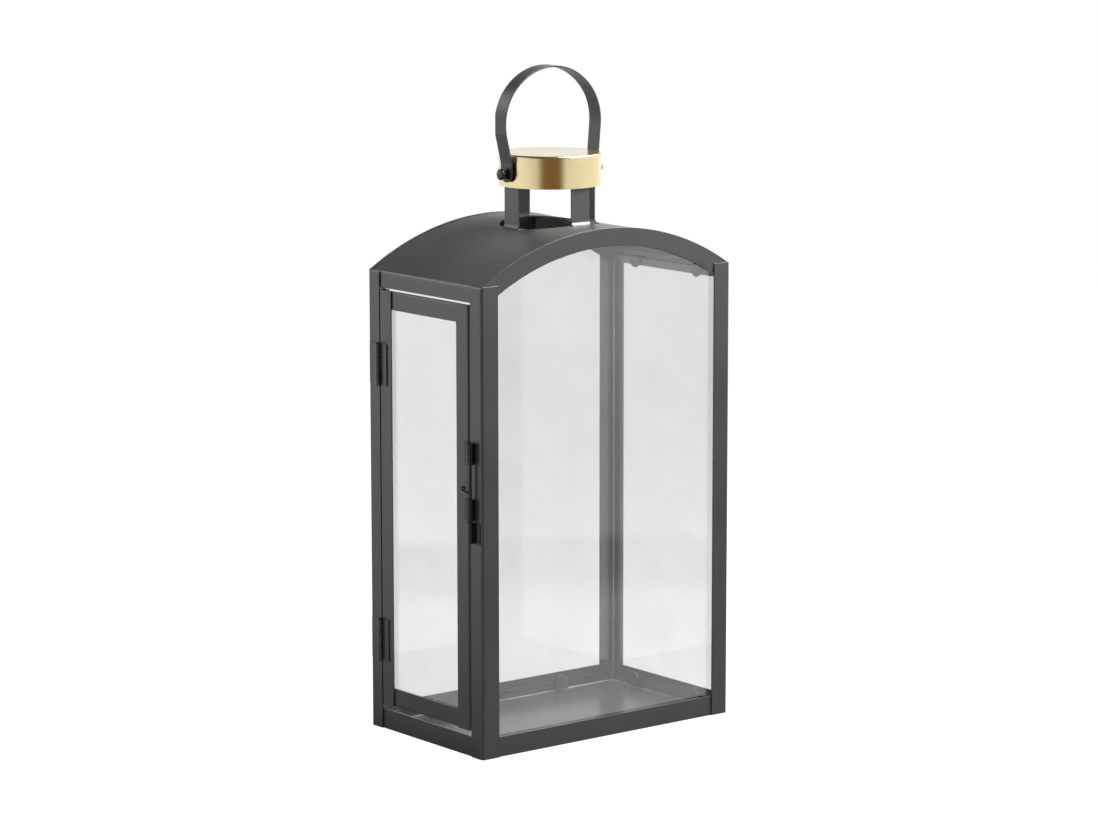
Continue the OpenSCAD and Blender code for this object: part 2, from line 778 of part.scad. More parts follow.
// Hinge pin with a flat head at each end
module hinge_pin(z) {
    r = hinge_pin_d / 2;
    color(black) translate([hinge_x, hinge_y, z - hinge_len / 2]) {
        cylinder(r = r, h = hinge_len);
        for (h = [-pin_head_h, hinge_len]) translate([0, 0, h])
            cylinder(r = r + pin_head_out, h = pin_head_h);
    }
}

// Keeper on the front post, which the pin drops into: a leaf that turns up into its barrel
module latch_keeper() {
    side_y = latch_y - keeper_r;
    color(black) translate([0, 0, keeper_z]) {
        translate([latch_x, latch_y]) barrel(keeper_r, latch_bore_r, keeper_len);
        difference() {
            union() {
                block([-hx - leaf_t, latch_y - keeper_leaf_w, 0], [-hx, side_y + leaf_t, keeper_len]);
                block([latch_x, side_y, 0], [-hx, side_y + leaf_t, keeper_len]);
            }
            translate([latch_x, latch_y, -1]) cylinder(r = keeper_r - weld, h = keeper_len + 2);
        }
    }
}

// Barrel on the door that guides the pin, with its leaf on the stile
module latch_barrel(z) {
    color(black) translate([0, 0, z]) {
        translate([latch_x, latch_y]) barrel(latch_r, latch_bore_r, barrel_len);
        difference() {
            block([door_face - leaf_t, latch_y, 0], [door_face, latch_y + barrel_leaf_w, barrel_len]);
            translate([latch_x, latch_y, -1]) cylinder(r = latch_r - weld, h = barrel_len + 2);
        }
    }
}

// Sliding pin with a bent wire handle that ends in a curl, drawn clear of the keeper
module latch_pin() {
    tilt = atan2(handle_reach, handle_rise);
    arm = sqrt(handle_reach * handle_reach + handle_rise * handle_rise) - curl_r + wire_d / 2;
    color(black) translate([latch_x, latch_y, 0]) {
        translate([0, 0, pin_z0]) cylinder(d = latch_pin_d, h = pin_z1 - pin_z0);
        translate([0, 0, handle_z]) rotate(135) {
            rotate([0, tilt, 0]) cylinder(d = wire_d, h = arm);
            translate([handle_reach, 0, handle_rise]) rotate([90, 0, 0]) rotate_extrude()
                translate([curl_r - wire_d / 2, 0]) circle(d = wire_d);
        }
    }
}

floor_pan();
post(-1, -1);  // post_front_left
post(1, -1);  // post_front_right
post(-1, 1);  // post_rear_left
post(1, 1);  // post_rear_right
long_base_rail(-1);  // front_base_rail
long_base_rail(1);  // rear_base_rail
side_base_rail(-1);  // left_base_rail
side_base_rail(1);  // right_base_rail
arch(-1);  // front_arch
arch(1);  // rear_arch
roof();
cap_leg(180, true);  // cap_leg_left
cap_leg(0, true);  // cap_leg_right
cap_leg(270, false);  // cap_leg_front
cap_leg(90, false);  // cap_leg_rear
vent_cap();
bail_handle();
bail_screw(-1);  // bail_screw_left
bail_screw(1);  // bail_screw_right
bail_washer(-1);  // bail_washer_left
bail_washer(1);  // bail_washer_right
bail_nut(-1);  // bail_nut_left
bail_nut(1);  // bail_nut_right
long_glass(-1);  // front_glass
long_glass(1);  // rear_glass
right_glass();
door_glass();
long_glass_clips(-1);  // front_glass_clips
long_glass_clips(1);  // rear_glass_clips
right_glass_clips();
door_glass_clips();
stile(door_hinge_y, -1);  // door_hinge_stile
stile(door_free_y, 1);  // door_free_stile
door_rail(door_z1, -1);  // door_top_rail
door_rail(door_z0, 1);  // door_bottom_rail
hinge_post_leaf(hinge_low_z);  // lower_hinge_post_leaf
hinge_door_leaf(hinge_low_z);  // lower_hinge_door_leaf
hinge_pin(hinge_low_z);  // lower_hinge_pin
hinge_post_leaf(hinge_high_z);  // upper_hinge_post_leaf
hinge_door_leaf(hinge_high_z);  // upper_hinge_door_leaf
hinge_pin(hinge_high_z);  // upper_hinge_pin
latch_keeper();
latch_barrel(low_barrel_z);  // latch_lower_barrel
latch_barrel(high_barrel_z);  // latch_upper_barrel
latch_pin();
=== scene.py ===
import json
import math

import bmesh
import bpy
from mathutils import Matrix, Vector


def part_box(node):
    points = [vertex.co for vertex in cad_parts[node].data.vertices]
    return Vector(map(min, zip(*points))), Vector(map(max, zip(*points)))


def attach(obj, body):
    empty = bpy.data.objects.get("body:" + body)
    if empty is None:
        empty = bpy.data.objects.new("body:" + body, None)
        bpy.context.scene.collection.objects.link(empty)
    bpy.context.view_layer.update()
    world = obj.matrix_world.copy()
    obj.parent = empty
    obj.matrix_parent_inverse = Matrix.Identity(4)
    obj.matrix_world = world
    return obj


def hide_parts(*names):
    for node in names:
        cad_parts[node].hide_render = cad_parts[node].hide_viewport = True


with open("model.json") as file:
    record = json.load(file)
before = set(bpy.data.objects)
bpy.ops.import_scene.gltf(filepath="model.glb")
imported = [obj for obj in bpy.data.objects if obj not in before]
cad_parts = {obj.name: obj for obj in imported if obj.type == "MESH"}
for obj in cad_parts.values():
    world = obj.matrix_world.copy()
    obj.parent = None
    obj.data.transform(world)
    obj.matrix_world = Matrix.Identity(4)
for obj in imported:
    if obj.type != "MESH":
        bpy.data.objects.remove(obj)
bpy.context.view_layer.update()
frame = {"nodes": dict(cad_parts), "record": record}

MM = 0.001

# The camera, as fitted to the photograph: it looks at a point near the middle of the body
CAMERA_AIM = (5.58 * MM, 7.37 * MM, 220.06 * MM)
CAMERA_AZIMUTH = -38.2416
CAMERA_ELEVATION = 9.5288
CAMERA_ROLL = -0.0539
CAMERA_DISTANCE = 2.7164
CAMERA_LENS = 125.80

# The hinges: their sheet, and how the knuckles share the length, as in the part's source
LEAF_T = 0.8 * MM
KNUCKLE_OUTER = 8.9 * MM
KNUCKLE_MIDDLE = 10.8 * MM
KNUCKLE_GAP = 0.3 * MM
HINGE_PIN_R = 0.9 * MM
PEENED_T = 0.8 * MM

# A knuckle is rolled from this angle on round the pin, by this turn, in degrees
ROLL_START = 24
ROLL_TURN = 324
ROLL_STEP = 12

# The bail's pivots, with a hexagon's corners as a share of half its width over the flats
SCREW_R = 1.5 * MM
THREAD_PITCH = 0.5 * MM
THREAD_TURNS = 12.0
NUT_FLATS = 5.5 * MM
HEX_CORNER = 1.155
SCREW_CHAMFER = 1.09
NUT_CHAMFER = 1.03

# The latch: its pin, and its wire handle with the eye's centre seen from the handle's foot
LATCH_PIN_R = 1.1 * MM
LATCH_TIP = 0.5 * MM
WIRE_R = 0.75 * MM
EYE_R = 1.35 * MM
EYE_CENTRE = Vector((4.7 * MM, 3.8 * MM))
HANDLE_RISE = 19.25 * MM

# Meshes are smooth up to this angle between two faces
FOLD = math.radians(35)

# The studio's walls: each one's azimuth, and its strength at heights of sin(elevation)
WALLS = ((-135, [(0.0, 1.7), (0.09, 1.4), (0.2, 1.0), (0.34, 0.8), (0.48, 0.4), (0.6, 0.05)]),
         (135, [(0.0, 1.1), (0.13, 0.95), (0.3, 0.3), (0.5, 0.2), (0.6, 0.0)]),
         (45, [(0.0, 0.6), (0.12, 0.4), (0.28, 0.5), (0.45, 0.2), (0.6, 0.0)]))
WALL_PEAK = 3.0
SKY_BASE = 0.1

# The studio's floor: its half width, and its strength at distances from the lantern in metres,
# as gloss sees it to the front right and elsewhere, and as the panes mirror it, with a dark
# band across it that only the panes' mirror images show: a painted reflection
FLOOR_REACH = 6.0
FLOOR_RIGHT = [(0.0, 0.15), (0.35, 0.1), (0.9, 0.05), (1.5, 0.2), (2.2, 0.8), (2.8, 1.2), (6, 1.2)]
FLOOR_ELSEWHERE = [(0.0, 0.05), (0.35, 0.3), (0.6, 0.45), (1.0, 0.6), (1.8, 0.85), (2.6, 0.95),
                   (6, 0.95)]
FLOOR_MIRRORED = [(0.0, 1.5), (0.5, 1.5), (0.6, 0.4), (0.73, 0.4), (0.78, 1.5), (1.0, 1.6),
                  (1.75, 2.2), (2.3, 2.7)]
FLOOR_PEAK = 5.0
FLOOR_BLEND = 0.3
FLOOR_GLOW = 0.97
FLOOR_MATT = 0.15
LAMP_AIM = Vector((0, 0, 0.25))


def from_azimuth(azimuth, elevation, distance):
    """A vector of that length, at an azimuth round the object and an elevation, in degrees."""
    a, e = math.radians(azimuth), math.radians(elevation)
    return distance * Vector((math.sin(a) * math.cos(e), -math.cos(a) * math.cos(e), math.sin(e)))


def make_camera():
    """The camera at the photograph's viewing angle."""
    camera = bpy.data.objects.new("camera", bpy.data.cameras.new("camera"))
    bpy.context.scene.collection.objects.link(camera)
    back = from_azimuth(CAMERA_AZIMUTH, CAMERA_ELEVATION, CAMERA_DISTANCE)
    turn = (-back).to_track_quat("-Z", "Y").to_matrix().to_4x4()
    roll = Matrix.Rotation(math.radians(CAMERA_ROLL), 4, "Z")
    camera.matrix_world = Matrix.Translation(Vector(CAMERA_AIM) + back) @ turn @ roll
    camera.data.lens = CAMERA_LENS
    camera.data.clip_end = 50
    bpy.context.scene.camera = camera


def hex_colour(code, alpha=1.0):
    """An sRGB hex colour as linear RGBA."""
    parts = [int(code[i:i + 2], 16) / 255 for i in (1, 3, 5)]
    linear = [c / 12.92 if c <= 0.04045 else ((c + 0.055) / 1.055) ** 2.4 for c in parts]
    return (*linear, alpha)


def add(tree, kind, inputs=None, stops=(), **settings):
    """Adds a node with its settings. An input, by name or number, gets a value, or a link from
    a socket or from a node's first output. Stops are a colour ramp's (place, linear RGBA)."""
    made = tree.nodes.new(kind)
    for name, value in settings.items():
        setattr(made, name, value)
    for name, value in (inputs or {}).items():
        if isinstance(value, bpy.types.Node):
            value = value.outputs[0]
        if isinstance(value, bpy.types.NodeSocket):
            tree.links.new(value, made.inputs[name])
        else:
            made.inputs[name].default_value = value
    for number, (place, colour) in enumerate(stops):
        elements = made.color_ramp.elements
        stop = elements[number] if number < len(elements) else elements.new(place)
        stop.position, stop.color = place, colour
    return made


def new_material(name):
    """An empty material and its tree, with the output node."""
    material = bpy.data.materials.new(name)
    material.use_nodes = True
    tree = material.node_tree
    tree.nodes.clear()
    return material, tree, add(tree, "ShaderNodeOutputMaterial")


# Materials. Object coordinates are metres in the lantern's frame on every piece

def powder_coat(name, shiny, dull, ior):
    """Polyester powder coat, sprayed on folded steel and baked: a satin black with a fine
    orange peel, a little uneven in gloss, and rounded over every sheared edge."""
    material, tree, output = new_material(name)
    place = add(tree, "ShaderNodeTexCoord").outputs["Object"]
    # Orange peel has waves of about 1.5 mm; real ones are 0.5 mm and too fine to show
    peel = add(tree, "ShaderNodeTexNoise",
               {"Vector": place, "Scale": 1 / (1.5 * MM), "Detail": 3.0, "Roughness": 0.55})
    cloud = add(tree, "ShaderNodeTexNoise",
                {"Vector": place, "Scale": 1 / (60 * MM), "Detail": 4.0, "Roughness": 0.6})
    colour = add(tree, "ShaderNodeValToRGB", {"Fac": cloud},
                 stops=[(0.3, hex_colour("#2e2f30")), (0.7, hex_colour("#353636"))])
    gloss = add(tree, "ShaderNodeMapRange",
                {"Value": cloud, "From Min": 0.3, "From Max": 0.7, "To Min": shiny,
                 "To Max": dull})
    edges = add(tree, "ShaderNodeBevel", {"Radius": 0.45 * MM}, samples=6)
    bump = add(tree, "ShaderNodeBump",
               {"Height": peel, "Distance": 0.02 * MM, "Strength": 0.35, "Normal": edges})
    coat = add(tree, "ShaderNodeBsdfPrincipled",
               {"Base Color": colour, "Roughness": gloss, "Normal": bump, "IOR": ior})
    tree.links.new(coat.outputs["BSDF"], output.inputs["Surface"])
    return material


def lacquered_brass():
    """Brass spun over a former, brushed round its axis and clear lacquered: pale gold, with
    soft streaks that run round the cap."""
    material, tree, output = new_material("spun_brass_lacquered")
    place = add(tree, "ShaderNodeTexCoord").outputs["Object"]
    height = add(tree, "ShaderNodeSeparateXYZ", {"Vector": place}).outputs["Z"]
    level = add(tree, "ShaderNodeVectorMath", {0: place, 1: (1, 1, 0)}, operation="MULTIPLY")
    radius = add(tree, "ShaderNodeVectorMath", {0: level}, operation="LENGTH").outputs["Value"]
    turned_place = add(tree, "ShaderNodeCombineXYZ", {"X": radius, "Z": height})
    # Brush lines about 0.4 mm apart
    lines = add(tree, "ShaderNodeTexNoise",
                {"Vector": turned_place, "Scale": 1 / (0.4 * MM), "Detail": 4.0,
                 "Roughness": 0.6})
    cloud = add(tree, "ShaderNodeTexNoise",
                {"Vector": place, "Scale": 1 / (25 * MM), "Detail": 3.0})
    colour = add(tree, "ShaderNodeValToRGB", {"Fac": cloud},
                 stops=[(0.3, hex_colour("#e2d09c")), (0.7, hex_colour("#e9d9ab"))])
    gloss = add(tree, "ShaderNodeMapRange",
                {"Value": lines, "From Min": 0.3, "From Max": 0.7, "To Min": 0.17,
                 "To Max": 0.24})
    edges = add(tree, "ShaderNodeBevel", {"Radius": 0.3 * MM}, samples=6)
    bump = add(tree, "ShaderNodeBump",
               {"Height": lines, "Distance": 0.004 * MM, "Strength": 0.3, "Normal": edges})
    metal = add(tree, "ShaderNodeBsdfPrincipled",
                {"Base Color": colour, "Metallic": 1.0, "Roughness": gloss,
                 "Coat Weight": 0.25, "Coat Roughness": 0.15, "Normal": bump})
    tree.links.new(metal.outputs["BSDF"], output.inputs["Surface"])
    return material


def float_glass(name, across):
    """Clear float glass, 2 mm, with a faint cloudiness from handling. Its faces look along the
    axis across, and what looks another way is a ground edge, frosted and green. Lamps shine
    through it, as they do through a thin pane."""
    material, tree, output = new_material(name)
    coordinates = add(tree, "ShaderNodeTexCoord").outputs
    smears = add(tree, "ShaderNodeTexNoise",
                 {"Vector": coordinates["Object"], "Scale": 1 / (40 * MM), "Detail": 5.0,
                  "Roughness": 0.6})
    clear = add(tree, "ShaderNodeValToRGB", {"Fac": smears},
                stops=[(0.35, hex_colour("#e4e5e4")), (0.65, hex_colour("#e8e9e8"))])
    facing = add(tree, "ShaderNodeVectorMath", {0: coordinates["Normal"], 1: across},
                 operation="DOT_PRODUCT").outputs["Value"]
    facing = add(tree, "ShaderNodeMath", {0: facing}, operation="ABSOLUTE")
    edge = add(tree, "ShaderNodeMath", {0: facing, 1: 0.7}, operation="LESS_THAN")
    colour = add(tree, "ShaderNodeMix", {"Factor": edge, "A": clear, "B": hex_colour("#b9d8cc")},
                 data_type="RGBA").outputs["Result"]
    # Faces are polished; the ground edge has a roughness of 0.5
    frost = add(tree, "ShaderNodeMath", {0: edge, 1: 0.5}, operation="MULTIPLY")
    glass = add(tree, "ShaderNodeBsdfPrincipled",
                {"Base Color": colour, "Roughness": frost, "Transmission Weight": 1.0,
                 "IOR": 1.52})
    through = add(tree, "ShaderNodeBsdfTransparent", {"Color": (0.9, 0.92, 0.91, 1)})
    path = add(tree, "ShaderNodeLightPath")
    mixed = add(tree, "ShaderNodeMixShader",
                {"Fac": path.outputs["Is Shadow Ray"], 1: glass, 2: through})
    tree.links.new(mixed.outputs["Shader"], output.inputs["Surface"])
    return material


def zinc_plate():
    """Bright zinc plating on small steel hardware: pale grey with a fine bluish mottle."""
    material, tree, output = new_material("zinc_plated_steel")
    place = add(tree, "ShaderNodeTexCoord").outputs["Object"]
    mottle = add(tree, "ShaderNodeTexNoise",
                 {"Vector": place, "Scale": 1 / (0.8 * MM), "Detail": 3.0})
    colour = add(tree, "ShaderNodeValToRGB", {"Fac": mottle},
                 stops=[(0.3, hex_colour("#a9acad")), (0.7, hex_colour("#c2c4c2"))])
    metal = add(tree, "ShaderNodeBsdfPrincipled",
                {"Base Color": colour, "Metallic": 1.0, "Roughness": 0.38})
    tree.links.new(metal.outputs["BSDF"], output.inputs["Surface"])
    return material


def black_lacquer():
    """Glossy black lacquer on small turned and rolled hardware."""
    material, tree, output = new_material("lacquered_hardware_black")
    place = add(tree, "ShaderNodeTexCoord").outputs["Object"]
    cloud = add(tree, "ShaderNodeTexNoise",
                {"Vector": place, "Scale": 1 / (4 * MM), "Detail": 3.0})
    colour = add(tree, "ShaderNodeValToRGB", {"Fac": cloud},
                 stops=[(0.3, hex_colour("#121212")), (0.7, hex_colour("#181818"))])
    gloss = add(tree, "ShaderNodeMapRange",
                {"Value": cloud, "From Min": 0.3, "From Max": 0.7, "To Min": 0.16,
                 "To Max": 0.26})
    edges = add(tree, "ShaderNodeBevel", {"Radius": 0.25 * MM}, samples=6)
    coat = add(tree, "ShaderNodeBsdfPrincipled",
               {"Base Color": colour, "Roughness": gloss, "Normal": edges, "IOR": 1.5})
    tree.links.new(coat.outputs["BSDF"], output.inputs["Surface"])
    return material


def paint_nodes(by_slot, by_name):
    """Gives each CAD node its own material, or else that of its slot in the record."""
    slots = {s["node"]: s["material_slot"] for s in frame["record"]["subparts"]}
    for name, node in frame["nodes"].items():
        material = by_name.get(name) or by_slot[slots[name]]
        if not node.material_slots:
            node.data.materials.append(material)
        for slot in node.material_slots:
            slot.material = material


# Pieces

def keep(name, mesh, body, node, material=None):
    """A finished piece: an object at the origin that rides on a body and stands for a node."""
    piece = bpy.data.objects.new(name, mesh)
    bpy.context.scene.collection.objects.link(piece)
    if material:
        mesh.materials.clear()
        mesh.materials.append(material)
    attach(piece, body)
    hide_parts(node)


def grow(mesh, tree, values):
    """Runs a Geometry Nodes tree on a mesh and returns the plain mesh that it makes."""
    seed = bpy.data.objects.new(tree.name, mesh)
    bpy.context.scene.collection.objects.link(seed)
    modifier = seed.modifiers.new(tree.name, "NODES")
    modifier.node_group = tree
    for item in tree.interface.items_tree:
        if item.item_type == "SOCKET" and item.in_out == "INPUT" and item.name in values:
            modifier[item.identifier] = values[item.name]
    grown = bpy.data.meshes.new_from_object(
        seed.evaluated_get(bpy.context.evaluated_depsgraph_get()))
    seed.modifiers.remove(modifier)
    bpy.data.objects.remove(seed)
    return grown


def new_tree(name, sizes):
    """A Geometry Nodes tree with geometry in and out, named sizes and a material. Returns it,
    its inputs by name, and the function that ends it."""
    tree = bpy.data.node_groups.new(name, "GeometryNodeTree")
    tree.is_modifier = True
    sockets = tree.interface
    sockets.new_socket("Geometry", in_out="INPUT", socket_type="NodeSocketGeometry")
    for size in sizes:
        sockets.new_socket(size, in_out="INPUT", socket_type="NodeSocketFloat")
    sockets.new_socket("Material", in_out="INPUT", socket_type="NodeSocketMaterial")
    sockets.new_socket("Geometry", in_out="OUTPUT", socket_type="NodeSocketGeometry")
    given = add(tree, "NodeGroupInput").outputs

    def end(geometry):
        real = add(tree, "GeometryNodeRealizeInstances", {"Geometry": geometry})
        done = add(tree, "GeometryNodeSetMaterial",
                   {"Geometry": real, "Material": given["Material"]})
        add(tree, "NodeGroupOutput", {"Geometry": done})
        return tree
    return tree, given, end


def wire_tree():
    """Round wire along the polyline that it is given, with its corners bent to a radius."""
    tree, given, end = new_tree("bent_wire", ["Wire radius", "Bend radius"])
    line = add(tree, "GeometryNodeMeshToCurve", {"Mesh": given["Geometry"]})
    bent = add(tree, "GeometryNodeFilletCurve",
               {"Curve": line, "Radius": given["Bend radius"], "Limit Radius": True})
    section = add(tree, "GeometryNodeCurvePrimitiveCircle",
                  {"Resolution": 20, "Radius": given["Wire radius"]})
    return end(add(tree, "GeometryNodeCurveToMesh",
                   {"Curve": bent, "Profile Curve": section, "Fill Caps": True}))


def thread_tree():
    """Adds a thread to a screw that stands on Z: a sharp ridge wound up from its start."""
    tree, given, end = new_tree("screw_thread", ["Thread radius", "Pitch", "Turns", "Start"])
    length = add(tree, "ShaderNodeMath",
                 {0: given["Pitch"], 1: given["Turns"]}, operation="MULTIPLY")
    # 24 points a turn, and a three-cornered ridge that is 0.45 of the pitch in radius
    points = add(tree, "ShaderNodeMath", {0: given["Turns"], 1: 24}, operation="MULTIPLY")
    coil = add(tree, "GeometryNodeCurveSpiral",
               {"Resolution": points, "Rotations": given["Turns"],
                "Start Radius": given["Thread radius"], "End Radius": given["Thread radius"],
                "Height": length})
    ridge = add(tree, "ShaderNodeMath", {0: given["Pitch"], 1: 0.45}, operation="MULTIPLY")
    section = add(tree, "GeometryNodeCurvePrimitiveCircle", {"Resolution": 3, "Radius": ridge})
    wound = add(tree, "GeometryNodeCurveToMesh",
                {"Curve": coil, "Profile Curve": section, "Fill Caps": True})
    place = add(tree, "ShaderNodeCombineXYZ", {"Z": given["Start"]})
    moved = add(tree, "GeometryNodeTransform", {"Geometry": wound, "Translation": place})
    both = add(tree, "GeometryNodeJoinGeometry", {"Geometry": moved})
    tree.links.new(given["Geometry"], both.inputs["Geometry"])
    return end(both)


def sheet_tree():
    """A strip of sheet that stands on Z and is bent along the polyline that it is given."""
    tree, given, end = new_tree("bent_sheet", ["Thickness", "Width"])
    line = add(tree, "GeometryNodeMeshToCurve", {"Mesh": given["Geometry"]})
    upright = add(tree, "GeometryNodeSetCurveNormal", {"Curve": line}, mode="Z_UP")
    section = add(tree, "GeometryNodeCurvePrimitiveQuadrilateral",
                  {"Width": given["Thickness"], "Height": given["Width"]})
    return end(add(tree, "GeometryNodeCurveToMesh",
                   {"Curve": upright, "Profile Curve": section, "Fill Caps": True}))


def polyline(name, points):
    """A mesh of points joined one after the other."""
    mesh = bpy.data.meshes.new(name)
    mesh.from_pydata(points, [(k, k + 1) for k in range(len(points) - 1)], [])
    return mesh


def ring(radius, z, steps, corners=0):
    """Points round Z at a height. With corners, radius is a hexagon's half width over its
    flats, and the ring is cut to the circle that corners gives."""
    points = []
    for k in range(steps):
        angle = 2 * math.pi * k / steps
        r = radius
        if corners:
            off = (angle + math.pi / 6) % (math.pi / 3) - math.pi / 6
            r = min(radius / math.cos(off), corners)
        points.append((r * math.cos(angle), r * math.sin(angle), z))
    return points


def skin(solid, rings, closed=False):
    """Joins rings of points, each to the next, into a skin. A ring of one point is a pole.
    Closed joins the last ring to the first."""
    made = [[solid.verts.new(p) for p in points] for points in rings]
    for low, high in zip(made, made[1:] + made[:1] if closed else made[1:]):
        steps = max(len(low), len(high))
        for k in range(steps):
            corners = (low[k % len(low)], low[(k + 1) % len(low)],
                       high[(k + 1) % len(high)], high[k % len(high)])
            corners = list(dict.fromkeys(corners))
            if len(corners) > 2:
                solid.faces.new(corners)


def turned(profile, steps=48):
    """Rings of a turned shape from its (radius, z) or (radius, z, corners) stations; a radius
    of 0 is a pole."""
    return [ring(r, z, steps, *hexagon) if r else [(0, 0, z)] for r, z, *hexagon in profile]


def finish_mesh(name, solid, turn=None):
    """A smooth mesh with sharp folds and outward faces from a bmesh, which it frees."""
    if turn:
        bmesh.ops.transform(solid, matrix=turn, verts=solid.verts)
    bmesh.ops.recalc_face_normals(solid, faces=solid.faces)
    mesh = bpy.data.meshes.new(name)
    solid.to_mesh(mesh)
    solid.free()
    mesh.shade_smooth()
    mesh.set_sharp_from_angle(angle=FOLD)
    return mesh


def on_pivot(side):
    """Turns a piece made on +Z on to the bail's pivot, on -X (side -1) or +X (side 1)."""
    low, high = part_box("bail_screw_left")
    middle = Matrix.Translation((0, 0, (low[2] + high[2]) / 2))
    return middle @ Matrix.Rotation(side * math.pi / 2, 4, "Y")


def pivot_screw(name, node, side, coat, thread):
    """The bail's pivot screw: a hexagon under a domed disc head, and a threaded shank."""
    low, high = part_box(node)
    tip, top = sorted((abs(low[0]), abs(high[0])))
    washer = max(abs(corner[0]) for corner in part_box(node.replace("screw", "washer")))
    flats, disc = NUT_FLATS / 2, (high[1] - low[1]) / 2
    # The disc's section, in mm in from its rim and down from its top
    head = [(0.5, 2.3), (0.1, 2.05), (0, 1.7), (0, 1.1), (0.25, 0.65), (0.9, 0.3), (2.0, 0.08)]
    under = top - head[0][1] * MM
    solid = bmesh.new()
    skin(solid, turned([
        (0, tip), (SCREW_R - 0.4 * MM, tip), (SCREW_R, tip + 0.4 * MM), (SCREW_R, washer),
        (flats, washer, flats * SCREW_CHAMFER), (flats, washer + 0.3 * MM, flats * HEX_CORNER),
        (flats, under - 0.1 * MM, flats * HEX_CORNER),
        *[(disc - inward * MM, top - down * MM) for inward, down in head], (0, top)]))
    mesh = grow(finish_mesh(name, solid), thread, {
        "Thread radius": SCREW_R - 0.05 * MM, "Pitch": THREAD_PITCH, "Turns": THREAD_TURNS,
        "Start": tip + 0.5 * MM, "Material": coat})
    mesh.name = name
    mesh.transform(on_pivot(side))
    keep(name, mesh, "frame", node)


def pivot_nut(name, node, side, plate):
    """A chamfered hexagon nut on the pivot screw's end, inside the cap."""
    low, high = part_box(node)
    near, far = sorted((abs(low[0]), abs(high[0])))
    flats, bore, chamfer = NUT_FLATS / 2, SCREW_R + 0.03 * MM, 0.25 * MM
    solid = bmesh.new()
    skin(solid, turned([
        (bore, near + 0.3 * MM), (bore + chamfer, near), (flats, near, flats * NUT_CHAMFER),
        (flats, near + chamfer, flats * HEX_CORNER), (flats, far - chamfer, flats * HEX_CORNER),
        (flats, far, flats * NUT_CHAMFER), (bore + chamfer, far), (bore, far - 0.3 * MM)]),
        closed=True)
    keep(name, finish_mesh(name, solid, on_pivot(side)), "frame", node, plate)


def hinge_pin(name, node, coat):
    """A hinge pin with both ends peened over into low domes."""
    low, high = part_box(node)
    x, y = (low[0] + high[0]) / 2, (low[1] + high[1]) / 2
    head = (high[0] - low[0]) / 2
    end = [(0, 0), (0.5 * head, 0.06 * PEENED_T), (0.85 * head, 0.35 * PEENED_T),
           (head, 0.7 * PEENED_T), (head, PEENED_T), (HINGE_PIN_R, PEENED_T)]
    profile = [(r, low[2] + z) for r, z in end] + [(r, high[2] - z) for r, z in end[::-1]]
    solid = bmesh.new()
    skin(solid, turned(profile, 32))
    mesh = finish_mesh(name, solid, Matrix.Translation((x, y, 0)))
    keep(name, mesh, "frame", node, coat)


def hinge_leaf(name, node, body, pin_node, away, coat, sheet):
    """A hinge leaf in one sheet: a plate, and knuckles rolled round the pin. away is the side
    of the pin that the plate lies on, 1 to the rear or -1 to the front."""
    low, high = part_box(node)
    pin_low, pin_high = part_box(pin_node)
    axis = Vector(((pin_low[0] + pin_high[0]) / 2, (pin_low[1] + pin_high[1]) / 2))
    roll = axis.x - low[0] - LEAF_T / 2
    plane = high[0] - LEAF_T / 2
    end = high[1] if away > 0 else low[1]
    notch = axis.y + away * (roll + LEAF_T / 2 + KNUCKLE_GAP)
    bend = []
    for degrees in range(ROLL_START, ROLL_START - ROLL_TURN - 1, -ROLL_STEP):
        angle = math.radians(degrees)
        bend.append(tuple(axis + roll * Vector((math.cos(angle), away * math.sin(angle)))))
    knuckle = [(plane, notch + away * KNUCKLE_GAP), (plane, notch), *bend]
    # Each strip has its bottom, its width along the pin and its path; the post's leaf has the
    # two outer knuckles, and the door's has the middle one
    strips = [(low[2], high[2] - low[2], [(plane, end), (plane, notch)])]
    if away > 0:
        strips += [(bottom, KNUCKLE_OUTER, knuckle)
                   for bottom in (low[2], high[2] - KNUCKLE_OUTER)]
    else:
        strips.append(((low[2] + high[2] - KNUCKLE_MIDDLE) / 2, KNUCKLE_MIDDLE, knuckle))
    solid = bmesh.new()
    for bottom, width, path in strips:
        line = polyline(name, [(x, y, bottom + width / 2) for x, y in path])
        strip = grow(line, sheet, {"Thickness": LEAF_T, "Width": width, "Material": coat})
        solid.from_mesh(strip)
    keep(name, finish_mesh(name, solid), body, node, coat)


